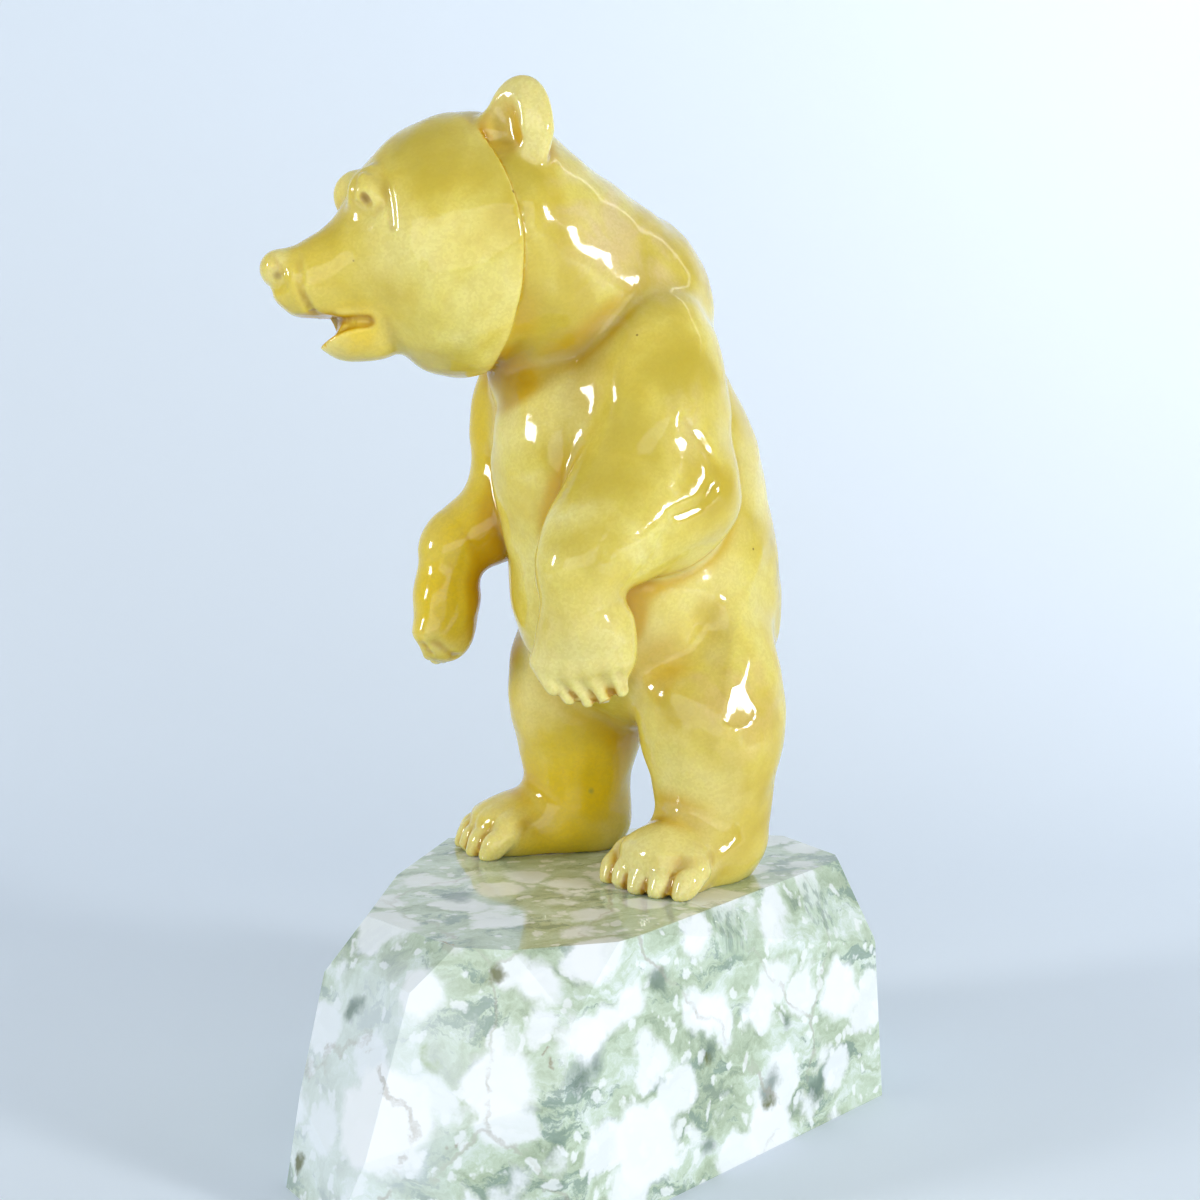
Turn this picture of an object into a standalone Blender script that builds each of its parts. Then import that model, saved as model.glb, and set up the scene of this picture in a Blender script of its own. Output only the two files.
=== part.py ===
"""Standing bear carved from yellow onyx marble, on a faceted block of green and white marble.

The bear faces -Y, its left side is +X, and +Z is up. Metres throughout, apart from the places and
sizes of the carving, which are hundredths of the bear's height, measured from the middle between
its soles.
"""
import math

import bmesh
import bpy
import numpy as np
from mathutils import Matrix, Vector

# Driving dimensions
BEAR_HEIGHT = 0.200      # of the stone it was carved from: the left ear's tip ends 2.4 % lower
BLOCK_HEIGHT = 0.060
BLOCK_EDGE = 0.0012      # rounding of the block's polished edges
STANDING_GAP = 0.0003    # between the soles and the block
CHISEL = 0.0024          # width of the first rough cuts
POLISH = 0.0015          # width of the last cuts
BEAR_TRIANGLES = 7600

PERCENT = BEAR_HEIGHT / 100


# The block's facets: compass direction of the face in degrees from +X, its lean outward towards
# the foot in degrees, and how far beyond the feet's reach it would meet the level of the top.
FEET_REACH = 21.0 * PERCENT
FACETS = {
    "left wall": (14, 5.6, 0.0070),
    "left shoulder": (20, 29, 0.0020),
    "left rear shoulder": (57, 24.5, 0.0160),
    "rear shoulder": (84, 24, 0.0142),
    "rear wall": (80, 0, 0.0186),
    "right rear wall": (133, 12, 0.0008),
    "right wall": (161, 12, -0.0024),
    "right front wall": (-135, 14, 0.0110),
    "right front shoulder": (-126, 37, 0.0142),
    "right corner wall": (-126, 8.5, 0.0220),
    "front shoulder": (-81, 40, 0.0364),
    "front wall": (-82.5, 19.8, 0.0403),
    "front foot": (-88, 8, 0.0484),
    "left front wall": (-41.8, 16.3, 0.0396),
    "left front foot": (-37.4, 5, 0.0452),
    "left front shoulder": (-17, 34, 0.0274),
}


# Small tools of the carving

def unit(v):
    v = np.asarray(v, float)
    return v / np.linalg.norm(v)


def turned(yaw):
    """Rows are the left, ahead and up directions of a part that looks ahead, yaw degrees to its right."""
    a = math.radians(yaw)
    return np.array([(math.cos(a), -math.sin(a), 0), (-math.sin(a), -math.cos(a), 0), (0, 0, 1)])


def rise(x, low, high):
    """0 below low, 1 above high, and a smooth rise between."""
    t = np.clip((x - low) / (high - low), 0, 1)
    return t * t * (3 - 2 * t)


def egg(p, centre, half, axes=None):
    """Distance to an ellipsoid with half sizes along its own axes."""
    q = p - np.asarray(centre, float)
    if axes is not None:
        q = q @ np.asarray(axes).T
    half = np.asarray(half, float)
    near = np.sqrt(((q / half) ** 2).sum(-1)) + 1e-9
    slope = np.sqrt(((q / half ** 2) ** 2).sum(-1)) + 1e-9
    return near * (near - 1) / slope


def limb(p, start, end, start_radius, end_radius, wide=1.0, across=(1, 0, 0)):
    """Distance to a tapering round bar, stretched wide times along the direction across."""
    start = np.asarray(start, float)
    run = np.asarray(end, float) - start
    q = p - start
    side = unit(across)
    squeeze = 1 - 1 / wide
    q = q - np.outer(q @ side, side) * squeeze
    run = run - side * (run @ side) * squeeze
    t = np.clip((q @ run) / (run @ run), 0, 1)
    return np.linalg.norm(q - t[:, None] * run, axis=1) - (start_radius + (end_radius - start_radius) * t)


def join(a, b, soft):
    """Both forms as one, with a fillet about soft wide where they meet."""
    h = np.maximum(soft - np.abs(a - b), 0) / soft
    return np.minimum(a, b) - h * h * soft / 4


def cut(a, b, soft):
    """The first form with the second carved out of it, and the rim rounded."""
    return -join(-a, b, soft)


def keep(a, b, soft):
    """What lies in both forms."""
    return -join(-a, -b, soft)


def within(p, centre, reach, form):
    """A form that fits in a ball: its distance near the ball, and the ball's further off."""
    d = np.linalg.norm(p - np.asarray(centre, float), axis=1) - reach
    near = d < 11
    if near.any():
        d[near] = form(p[near])
    return d


def off_path(p, points):
    """Distance to a path of straight lines through the points."""
    d = np.full(len(p), 99.0)
    for start, end in zip(points[:-1], points[1:]):
        d = np.minimum(d, limb(p, start, end, 0, 0))
    return d


def furrow(p, d, points, depth, width):
    """The form with a soft groove along a path over its skin, or a ridge where the depth is below zero."""
    return d + depth * np.exp(-(off_path(p, points) / width) ** 2)


# The bear's head, in left, ahead and up from the middle of its skull

HEAD_AT = np.array((0.0, -16.0, 80.0))
HEAD = turned(17)
LEFT_EAR = np.array((8.6, 0.8, 11.2))
RIGHT_EAR = np.array((-9.0, -2.2, 9.6))


def ear(h, side):
    centre = LEFT_EAR if side > 0 else RIGHT_EAR
    facing = unit((side * 0.8, 0.6, 0))
    axes = np.array([(-facing[1], facing[0], 0), facing, (0, 0, 1)])
    shell = egg(h, centre, (4.2, 2.3, 6.4), axes)
    shell = join(shell, egg(h, centre - (side * 1.6, -2.5, 2.2), (2.0, 2.6, 3.6)), 2.5)
    bowl = egg(h, centre + 2.3 * facing + (-0.9 * side, 1.4, 0.2), (2.1, 1.7, 3.6), axes)
    return cut(shell, bowl, 1.5)


def mouth(h, jaw):
    """The open mouth, as the recess that it leaves in the jaw, which fades to a crease in the cheeks."""
    ahead, up = h[:, 1], h[:, 2]
    upper_lip = up + 10.3
    lower_lip = -11.5 - 0.07 * np.maximum(ahead - 18, 0) ** 2 - up
    corner = 17.6 - ahead
    recess = keep(keep(keep(upper_lip, lower_lip, 0.3), corner, 0.8), -jaw - 0.8, 0.3)
    return keep(recess, -limb(h, (0, 12, -11.1), (0, 17.6, -11.1), 4.2, 3.75), 0.4)


def snout(h):
    ahead, up = h[:, 1], h[:, 2]
    muzzle = limb(h, (0, 16.0, -3.3), (0, 24.8, -6.0), 6.7, 4.4)
    muzzle = join(muzzle, limb(h, (0, 15.0, -6.2), (0, 23.6, -7.2), 5.4, 3.9), 1.0)
    d = keep(muzzle, -10.3 - up, 0.3)
    d = join(d, egg(h, (0, 28.1, -4.7), (2.9, 2.3, 2.3)), 0.9)
    jaw = egg(h, (0, 18.8, -11.9), (3.7, 5.7, 3.5))
    jaw = join(jaw, limb(h, (0, 10, -8.5), (0, 16, -10.4), 5.2, 3.6, 1.2), 2)
    chin = (ahead - 23.3) * 0.85 + (up + 13.4) * 0.53
    return d, keep(jaw, chin, 0.3)


def behind_ruff(h):
    """How far back of the ruff, the bow that the cheeks' fur makes from ear to throat."""
    return 1.2 + 0.0165 * (h[:, 2] + 5.5) ** 2 - h[:, 1]


def head_in_place(h):
    ahead, up = h[:, 1], h[:, 2]
    skull = egg(h, (0, 4.0, 0), (12.6, 16.6, 14.7))
    skull = join(skull, egg(h, (0, 6.8, -7), (11.0, 8.8, 9.9)), 4.5)

    # The face stands proud of the neck along the ruff of the cheeks, less so up on the crown
    d = join(skull + 1.3 - 1.3 * rise(up, 8, 13), keep(skull, behind_ruff(h), 0.6), 0.4)

    muzzle, jaw = snout(h)
    d = join(d, muzzle, 3.5)
    d = join(d, egg(h, (4.5, 17.7, 3.7), (2.6, 2.8, 3.2)), 1.3)
    d = join(d, egg(h, (-4.5, 18.2, 4.8), (2.6, 2.9, 3.2)), 1.3)
    d = join(d, jaw, 1.2)
    d = cut(d, mouth(h, jaw), 0.5)
    for side in (-1, 1):
        d = join(d, ear(h, side), 1.8)
    return d


def head(p):
    return head_in_place((p - HEAD_AT) @ HEAD.T)


def sunk_behind_ruff(p, d):
    """Lowers the neck's skin just behind the ruff."""
    h = (p - HEAD_AT) @ HEAD.T
    behind = behind_ruff(h)
    step = rise(behind, -0.1, 0.5) * np.exp(-np.maximum(behind, 0) / 4)
    return d + 0.9 * step * rise(np.abs(h[:, 0]), 5, 8) * rise(-h[:, 2], -11.5, -9.5) * rise(h[:, 2], -15, -12)


# The body and limbs

def torso(p):
    d = egg(p, (-0.5, 4.4, 36.8), (14.8, 18.8, 17.2))
    d = join(d, egg(p, (0, -0.8, 55), (13.0, 15.0, 17)), 6)
    d = join(d, egg(p, (0, -7.5, 52), (9.5, 9.0, 14)), 5)
    d = join(d, egg(p, (0, 8.0, 46.5), (12.3, 12.6, 20)), 4)
    d = join(d, egg(p, (0, 2.8, 67.5), (10.0, 9.4, 16.6)), 4)
    d = join(d, egg(p, (-0.5, 9.6, 30), (12.0, 12.4, 13)), 5)
    return d


def neck(p):
    nape = limb(p, HEAD_AT + 2 * HEAD[1] + (0, 0, 0.7), (0, -1, 72.2), 12.8, 12.5)
    return join(nape, egg(p, (-3, -10, 64), (7.5, 6.5, 6.5)), 3)


LEFT_LEG = {"hip": (10.5, 7.0, 23), "hip_half": (7.8, 10.0, 13), "knee": (10.8, 7.3, 17), "ankle": (10.8, 7.2, 6),
            "heel": (11.2, 5.8, 3.6), "toes": (13.4, -4.0, 0), "turn": -14, "breadth": 6.0}
RIGHT_LEG = {"hip": (-11, 1.2, 24), "hip_half": (7.8, 10.8, 13), "knee": (-12.0, 0.9, 18), "ankle": (-12.0, 0.8, 7),
             "heel": (-12.0, 1.2, 3.6), "toes": (-16.4, -11.0, 0), "turn": 14, "breadth": 6.0}


def leg(p, build):
    thigh = egg(p, build["hip"], build["hip_half"])
    return join(thigh, limb(p, build["knee"], build["ankle"], 8.1, 7.2), 4)


def foot(p, build):
    """A flat foot with five toes, each ending in a claw that curves down to the ground."""
    heel, toes, breadth = np.array(build["heel"]), np.array(build["toes"]), build["breadth"]
    axes = turned(build["turn"])
    across, ahead, up = axes
    d = egg(p, heel, (6.4, 7.2, 5.4), axes)
    d = join(d, egg(p, (heel + toes) / 2 + 1.6 * up, (6.2, 8.0, 5.0), axes), 2.5)
    d = join(d, egg(p, toes - 2.0 * ahead + 2.3 * up, (breadth + 1.0, 3.8, 3.3), axes), 2.0)
    row = np.full(len(p), 99.0)
    for place in (-1, -0.5, 0, 0.5, 1):
        front = toes + place * breadth * across + (0.9 - 1.4 * place ** 2) * ahead
        knuckle = front - 0.9 * ahead + (3.6 - 0.5 * place ** 2) * up
        toe = limb(p, knuckle, front + 0.9 * ahead + 1.6 * up, 1.75, 1.55)
        claw = limb(p, front + 0.9 * ahead + 2.0 * up, front + 2.0 * ahead + 0.6 * up, 1.5, 1.1)
        row = join(row, join(toe, claw, 1.0), 0.2)
    height = (p - toes) @ up
    return join(d, row, 0.4 + 2.2 * rise(height, 3.2, 5.6))


LEFT_PAW = {"wrist": (14.2, -15.4, 39), "palm": (14.3, -14.0, 31.1), "wrist_radius": 4.6, "half": (6.1, 3.6, 6.2),
            "broad": (0.545, 0.839, 0), "out": (0.839, -0.545, 0),
            "claws": ((-5.2, -2.2, -3.9, -5.1), (-3.9, -3.3, -2.0, -6.2), (-1.8, -3.6, 0.0, -6.5),
                      (0.4, -3.2, 1.9, -6.3), (3.2, -2.6, 4.0, -5.2))}
RIGHT_PAW = {"wrist": (-14.0, -17.6, 40.5), "palm": (-14.2, -18.0, 32.8), "wrist_radius": 4.0, "half": (5.4, 3.6, 6.2),
             "broad": (-0.545, 0.839, 0), "out": (-0.839, -0.545, 0),
             "claws": ((-3.6, -2.6, -2.4, -5.0), (-1.7, -3.2, -0.6, -5.7), (0.2, -3.4, 1.2, -5.8),
                       (2.0, -3.0, 2.8, -5.4), (3.8, -1.2, 4.2, -4.3))}


def paw(p, build):
    """A hanging paw with five claws on its back, each from (across, up) to (across, up) on the palm."""
    wrist, palm, half = np.array(build["wrist"]), np.array(build["palm"]), build["half"]
    broad, out = unit(build["broad"]), unit(build["out"])
    up = np.array((0, 0, 1.0))
    d = limb(p, wrist, wrist * 0.4 + palm * 0.6, build["wrist_radius"], build["wrist_radius"])
    frame_of_palm = np.array([broad, out, up])
    d = join(d, egg(p, palm, half, frame_of_palm), 2.5)
    d = join(d, egg(p, palm - 0.5 * broad - 3.6 * up, (half[0] - 1.2, 2.0, 2.2), frame_of_palm), 1.5)
    row = np.full(len(p), 99.0)
    for from_across, from_up, to_across, to_up in build["claws"]:
        swell = half[1] * math.sqrt(1 - (from_across / half[0]) ** 2 - (from_up / half[2]) ** 2)
        root = palm + from_across * broad + from_up * up + (swell - 1.5) * out
        tip = palm + to_across * broad + to_up * up + 1.2 * out
        row = join(row, limb(p, root, tip, 1.6, 1.0), 0.15)
    return join(d, row, 0.4 + 1.8 * rise((p - palm) @ up, -4.2, -2.0))


def left_arm(p):
    d = egg(p, (12.0, -1.0, 56), (6.6, 9.6, 17.0), turned(-15))
    d = join(d, limb(p, (12.3, -4.0, 56), (13.4, -12.2, 45), 6.6, 5.6), 3)
    d = join(d, limb(p, (13.0, -0.3, 48.8), (14.0, -14.2, 41.0), 8.0, 5.6), 3)
    return join(d, paw(p, LEFT_PAW), 2)


def right_arm(p):
    d = egg(p, (-11.3, -5.6, 57), (6.4, 9.2, 13.0), turned(20))
    d = join(d, limb(p, (-12.5, -7.5, 47.0), (-14.0, -16.0, 42.3), 6.8, 4.7), 4)
    return join(d, paw(p, RIGHT_PAW), 2)


def bear_surface(p):
    """Distance from each point to the bear's skin, below zero inside."""
    # The arms melt into the chest and shoulders and stand clear of the flanks lower down
    chest = rise(p[:, 2], 48, 66) * rise(-p[:, 1], -6, 6)
    soft = 1.0 + 4.0 * chest + 5.0 * rise(p[:, 2], 57, 70)
    d = join(torso(p), within(p, (13, -7, 49), 30, left_arm), soft)
    d = join(d, within(p, (-13, -11, 49), 28, right_arm), soft)

    d = join(d, neck(p), 1.5)
    d = join(d, within(p, HEAD_AT + 7 * HEAD[1], 29, head), 1.0)
    d = sunk_behind_ruff(p, d)
    for build in (LEFT_LEG, RIGHT_LEG):
        middle = np.array(build["ankle"]) + (0, -2.5, 11)
        d = join(d, within(p, middle, 26, lambda q: join(leg(q, build), foot(q, build), 2.0)), 3)

    # The hollow in the groin, in front of the left thigh
    d = cut(d, egg(p, (20.6, -0.6, 30.6), (5.7, 6.6, 6.6)), 4.0)
    d = furrow(p, d, [(12.2, -2.5, 27.6), (14.3, 1.4, 29.5), (14.6, 3.2, 32.0)], 1.3, 2.4)
    return np.maximum(d, -p[:, 2])


# From the carved form to a mesh

CARVING_LOW = np.array((-26.0, -52.0, -4.0))
CARVING_HIGH = np.array((26.0, 34.0, 104.0))


def roughed_out(surface, cell):
    """The outer faces of all the small cubes whose centres lie inside the form."""
    counts = np.ceil((CARVING_HIGH - CARVING_LOW) / cell).astype(int)
    corners = np.indices(counts).reshape(3, -1).T
    inside = (surface(CARVING_LOW + (corners + 0.5) * cell) < 0).reshape(counts)
    verts, faces = [], []
    for axis in range(3):
        u, v = (axis + 1) % 3, (axis + 2) % 3
        for towards in (-1, 1):
            open_side = inside & ~np.roll(inside, -towards, axis)
            first = np.argwhere(open_side).astype(float)
            first[:, axis] += max(towards, 0)
            order = ((0, 0), (1, 0), (1, 1), (0, 1)) if towards > 0 else ((0, 0), (0, 1), (1, 1), (1, 0))
            for step_u, step_v in order:
                corner = first.copy()
                corner[:, u] += step_u
                corner[:, v] += step_v
                verts.append(corner)
            start = sum(len(block) for block in verts[:-4])
            faces.append(start + np.arange(len(first))[:, None] + np.arange(4) * len(first))
    mesh = bpy.data.meshes.new("bear")
    mesh.from_pydata((CARVING_LOW + np.vstack(verts) * cell).tolist(), [], np.vstack(faces).tolist())
    bm = bmesh.new()
    bm.from_mesh(mesh)
    bmesh.ops.remove_doubles(bm, verts=bm.verts, dist=cell / 100)
    bm.to_mesh(mesh)
    bm.free()
    return mesh


def modified(mesh, kind, **settings):
    """The mesh as one modifier leaves it."""
    holder = bpy.data.objects.new("holder", mesh)
    bpy.context.collection.objects.link(holder)
    modifier = holder.modifiers.new(kind, kind)
    for name, value in settings.items():
        setattr(modifier, name, value)
    result = bpy.data.meshes.new_from_object(holder.evaluated_get(bpy.context.evaluated_depsgraph_get()))
    bpy.data.objects.remove(holder)
    return result


def drawn_to_surface(mesh, surface, steps=5, probe=0.05):
    """Moves every vertex of the mesh along the form's slope until it lies on its skin."""
    p = np.empty(len(mesh.vertices) * 3)
    mesh.vertices.foreach_get("co", p)
    p = p.reshape(-1, 3)
    for _ in range(steps):
        d = surface(p)
        slope = np.empty_like(p)
        for axis in range(3):
            offset = np.zeros(3)
            offset[axis] = probe
            slope[:, axis] = (surface(p + offset) - surface(p - offset)) / (2 * probe)
        size = np.maximum((slope ** 2).sum(1), 0.25)
        p = p - slope * np.clip(d / size, -1, 1)[:, None]
    mesh.vertices.foreach_set("co", p.ravel())
    mesh.update()
    return mesh


def carve_bear(material):
    rough, fine = CHISEL / PERCENT, POLISH / PERCENT
    mesh = roughed_out(bear_surface, rough)
    mesh = modified(mesh, "REMESH", mode="VOXEL", voxel_size=rough * 0.8)
    mesh = modified(mesh, "SMOOTH", factor=0.5, iterations=4)
    mesh = drawn_to_surface(mesh, bear_surface)
    mesh = modified(mesh, "REMESH", mode="VOXEL", voxel_size=fine)
    mesh = drawn_to_surface(mesh, bear_surface)
    mesh.calc_loop_triangles()
    share = BEAR_TRIANGLES / len(mesh.loop_triangles)
    mesh = modified(mesh, "DECIMATE", ratio=min(1.0, share))
    mesh.name = "bear"
    mesh.transform(Matrix.Translation((0, 0, STANDING_GAP)) @ Matrix.Scale(PERCENT, 4))
    mesh.shade_smooth()
    mesh.set_sharp_from_angle(angle=math.radians(50))
    mesh.materials.clear()
    mesh.materials.append(material)
    return bpy.data.objects.new("bear", mesh)


# The block

def facet_normal(direction, lean):
    a, b = math.radians(direction), math.radians(lean)
    return Vector((math.cos(a) * math.cos(b), math.sin(a) * math.cos(b), math.sin(b)))


def cut_block(material):
    """A slab cut by one plane for each facet, its top at z = 0."""
    bm = bmesh.new()
    bmesh.ops.create_cube(bm, size=1)
    slab = 4 * BEAR_HEIGHT
    bmesh.ops.scale(bm, verts=bm.verts, vec=(slab, slab, BLOCK_HEIGHT))
    bmesh.ops.translate(bm, verts=bm.verts, vec=(0, 0, -BLOCK_HEIGHT / 2))
    for direction, lean, beyond in FACETS.values():
        normal = facet_normal(direction, lean)
        level = Vector((math.cos(math.radians(direction)), math.sin(math.radians(direction)), 0))
        geometry = bm.verts[:] + bm.edges[:] + bm.faces[:]
        bmesh.ops.bisect_plane(bm, geom=geometry, dist=1e-6, plane_co=level * (FEET_REACH + beyond),
                               plane_no=normal, clear_outer=True)
        rim = [edge for edge in bm.edges if edge.is_boundary]
        bmesh.ops.contextual_create(bm, geom=rim)
    bmesh.ops.recalc_face_normals(bm, faces=bm.faces)
    mesh = bpy.data.meshes.new("base")
    bm.to_mesh(mesh)
    bm.free()
    mesh.materials.append(material)
    block = bpy.data.objects.new("base", mesh)
    rounding = block.modifiers.new("polished edges", "BEVEL")
    rounding.width = BLOCK_EDGE
    rounding.segments = 2
    rounding.limit_method = "ANGLE"
    rounding.angle_limit = math.radians(4)
    return block


def stone(name, colour, roughness):
    material = bpy.data.materials.new(name)
    material.use_nodes = True
    shader = material.node_tree.nodes["Principled BSDF"]
    shader.inputs["Base Color"].default_value = (*colour, 1)
    shader.inputs["Roughness"].default_value = roughness
    shader.inputs["Metallic"].default_value = 0.0
    material.diffuse_color = (*colour, 1)
    return material


def main():
    for item in list(bpy.data.objects):
        bpy.data.objects.remove(item)
    yellow = stone("yellow onyx marble", (0.61, 0.47, 0.12), 0.12)
    green = stone("green and white marble", (0.62, 0.70, 0.58), 0.12)
    block = cut_block(green)
    figure = carve_bear(yellow)

    # The whole piece stands with the middle of its block over the origin
    low = Vector([min(v.co[i] for v in block.data.vertices) for i in range(3)])
    high = Vector([max(v.co[i] for v in block.data.vertices) for i in range(3)])
    stand = bpy.data.objects.new("sculpture", None)
    stand.location = (-(low.x + high.x) / 2, -(low.y + high.y) / 2, BLOCK_HEIGHT)
    for item in (stand, block, figure):
        bpy.context.collection.objects.link(item)
    block.parent = stand
    figure.parent = stand


main()
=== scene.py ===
"""Looks for the standing bear of yellow onyx marble on its block of green and white marble."""
import math

import bmesh
import bpy
import numpy as np
from mathutils import Matrix, Vector


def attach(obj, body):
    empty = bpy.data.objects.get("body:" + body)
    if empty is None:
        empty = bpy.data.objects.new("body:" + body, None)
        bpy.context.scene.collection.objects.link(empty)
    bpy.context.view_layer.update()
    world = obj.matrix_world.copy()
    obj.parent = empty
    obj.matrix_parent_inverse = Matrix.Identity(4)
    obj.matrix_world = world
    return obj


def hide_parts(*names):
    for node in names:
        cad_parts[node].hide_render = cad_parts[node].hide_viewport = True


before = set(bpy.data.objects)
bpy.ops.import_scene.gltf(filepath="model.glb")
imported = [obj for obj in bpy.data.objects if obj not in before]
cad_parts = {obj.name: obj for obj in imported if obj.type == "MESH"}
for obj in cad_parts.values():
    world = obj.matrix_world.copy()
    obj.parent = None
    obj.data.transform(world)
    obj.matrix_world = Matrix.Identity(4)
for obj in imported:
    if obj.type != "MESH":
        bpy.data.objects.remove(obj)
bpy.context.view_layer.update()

# Where the sculpture stands: the middle between the bear's soles, on the block's top
BEAR_HEIGHT = 0.200
PERCENT = BEAR_HEIGHT / 100
BLOCK_HEIGHT = 0.060
SOLES = Vector((-0.002733, 0.017333, BLOCK_HEIGHT))

# Sizes of the finished skin, in metres
FIRST_CUT = 0.0026       # blocks of the rough form
FINE_CUT = 0.00062       # the skin's own mesh
BEAR_TRIANGLES = 190000

# From here to the finishes, the bear's sizes are in hundredths of its height
FAR_OFF = 99.0           # further away than anything on the bear
WORKED_OUT_TO = 11       # how far from its ball a form is worked out, more than any fillet reaches
RECESS_REACH = 4.5       # how far out other forms are looked for, to find deep places
GROOVE_REACH = 0.9       # the same for the sides of a groove
GLOW_DEPTHS = (2.5, 4.5, 6.5)    # how far in the stone's far side is looked for, to find thin places


# Small tools of the carving

def unit(v):
    v = np.asarray(v, float)
    return v / np.linalg.norm(v)


def turned(yaw):
    """Rows are the left, ahead and up directions of a part that looks ahead, yaw degrees to its right."""
    a = math.radians(yaw)
    return np.array([(math.cos(a), -math.sin(a), 0), (-math.sin(a), -math.cos(a), 0), (0, 0, 1)])


def rise(x, low, high):
    """0 below low, 1 above high, and a smooth rise between."""
    t = np.clip((x - low) / (high - low), 0, 1)
    return t * t * (3 - 2 * t)


def egg(p, centre, half, axes=None):
    """Distance to an ellipsoid with half sizes along its own axes."""
    q = p - np.asarray(centre, float)
    if axes is not None:
        q = q @ np.asarray(axes).T
    half = np.asarray(half, float)
    near = np.sqrt(((q / half) ** 2).sum(-1)) + 1e-9
    slope = np.sqrt(((q / half ** 2) ** 2).sum(-1)) + 1e-9
    return near * (near - 1) / slope


def limb(p, start, end, start_radius, end_radius, wide=1.0, across=(1, 0, 0)):
    """Distance to a tapering round bar, stretched wide times along the direction across."""
    start = np.asarray(start, float)
    run = np.asarray(end, float) - start
    q = p - start
    side = unit(across)
    squeeze = 1 - 1 / wide
    q = q - np.outer(q @ side, side) * squeeze
    run = run - side * (run @ side) * squeeze
    t = np.clip((q @ run) / (run @ run), 0, 1)
    return np.linalg.norm(q - t[:, None] * run, axis=1) - (start_radius + (end_radius - start_radius) * t)


def join(a, b, soft):
    """Both forms as one, with a fillet about soft wide where they meet."""
    h = np.maximum(soft - np.abs(a - b), 0) / soft
    return np.minimum(a, b) - h * h * soft / 4


def cut(a, b, soft):
    """The first form with the second carved out of it, and the rim rounded."""
    return -join(-a, b, soft)


def keep(a, b, soft):
    """What lies in both forms."""
    return -join(-a, -b, soft)


def within(p, centre, reach, form):
    """A form that fits in a ball: its distance near the ball, and the ball's further off."""
    d = np.linalg.norm(p - np.asarray(centre, float), axis=1) - reach
    near = d < WORKED_OUT_TO
    if near.any():
        d[near] = form(p[near])
    return d


def off_path(p, points):
    """Distance to a path of straight lines through the points."""
    d = np.full(len(p), FAR_OFF)
    for start, end in zip(points[:-1], points[1:]):
        d = np.minimum(d, limb(p, start, end, 0, 0))
    return d


def furrow(p, d, points, depth, width):
    """The form with a soft groove along a path over its skin, or a ridge where the depth is below zero."""
    return d + depth * np.exp(-(off_path(p, points) / width) ** 2)


# The bear's head, in left, ahead and up from the middle of its skull

HEAD_AT = np.array((0.0, -16.0, 80.0))
HEAD = turned(17)
LEFT_EAR = np.array((8.6, 0.8, 11.2))
RIGHT_EAR = np.array((-9.0, -2.2, 9.6))


def ear(h, side):
    centre = LEFT_EAR if side > 0 else RIGHT_EAR
    facing = unit((side * 0.8, 0.6, 0))
    axes = np.array([(-facing[1], facing[0], 0), facing, (0, 0, 1)])
    shell = egg(h, centre, (4.2, 2.3, 6.4), axes)
    shell = join(shell, egg(h, centre - (side * 1.6, -2.5, 2.2), (2.0, 2.6, 3.6)), 2.5)
    bowl = egg(h, centre + 2.3 * facing + (-0.9 * side, 1.4, 0.2), (2.1, 1.7, 3.6), axes)
    return cut(shell, bowl, 1.5)


def mouth(h, jaw):
    """The open mouth, as the recess that it leaves in the jaw, which fades to a crease in the cheeks."""
    ahead, up = h[:, 1], h[:, 2]
    upper_lip = up + 10.3
    lower_lip = -11.5 - 0.07 * np.maximum(ahead - 18, 0) ** 2 - up
    corner = 17.6 - ahead
    recess = keep(keep(keep(upper_lip, lower_lip, 0.3), corner, 0.8), -jaw - 0.8, 0.3)
    return keep(recess, -limb(h, (0, 12, -11.1), (0, 17.6, -11.1), 4.2, 3.75), 0.4)


def snout(h):
    ahead, up = h[:, 1], h[:, 2]
    muzzle = limb(h, (0, 16.0, -3.3), (0, 24.8, -6.0), 6.7, 4.4)
    muzzle = join(muzzle, limb(h, (0, 15.0, -6.2), (0, 23.6, -7.2), 5.4, 3.9), 1.0)
    d = keep(muzzle, -10.3 - up, 0.3)
    d = join(d, egg(h, (0, 28.1, -4.7), (2.9, 2.3, 2.3)), 0.9)
    jaw = egg(h, (0, 18.8, -11.9), (3.7, 5.7, 3.5))
    jaw = join(jaw, limb(h, (0, 10, -8.5), (0, 16, -10.4), 5.2, 3.6, 1.2), 2)
    chin = (ahead - 23.3) * 0.85 + (up + 13.4) * 0.53
    return d, keep(jaw, chin, 0.3)


def behind_ruff(h):
    """How far back of the ruff, the bow that the cheeks' fur makes from ear to throat."""
    return 1.2 + 0.0165 * (h[:, 2] + 5.5) ** 2 - h[:, 1]


def head_in_place(h):
    up = h[:, 2]
    skull = egg(h, (0, 4.0, 0), (12.6, 16.6, 14.7))
    skull = join(skull, egg(h, (0, 6.8, -7), (11.0, 8.8, 9.9)), 4.5)

    # The face stands proud of the neck along the ruff of the cheeks, less so up on the crown
    d = join(skull + 1.3 - 1.3 * rise(up, 8, 13), keep(skull, behind_ruff(h), 0.6), 0.4)

    muzzle, jaw = snout(h)
    d = join(d, muzzle, 3.5)
    d = join(d, egg(h, (4.5, 17.7, 3.7), (2.6, 2.8, 3.2)), 1.3)
    d = join(d, egg(h, (-4.5, 18.2, 4.8), (2.6, 2.9, 3.2)), 1.3)
    d = join(d, jaw, 1.2)
    d = cut(d, mouth(h, jaw), 0.5)
    for side in (-1, 1):
        d = join(d, ear(h, side), 1.8)
    return d


def head(p):
    return head_in_place((p - HEAD_AT) @ HEAD.T)


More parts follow.
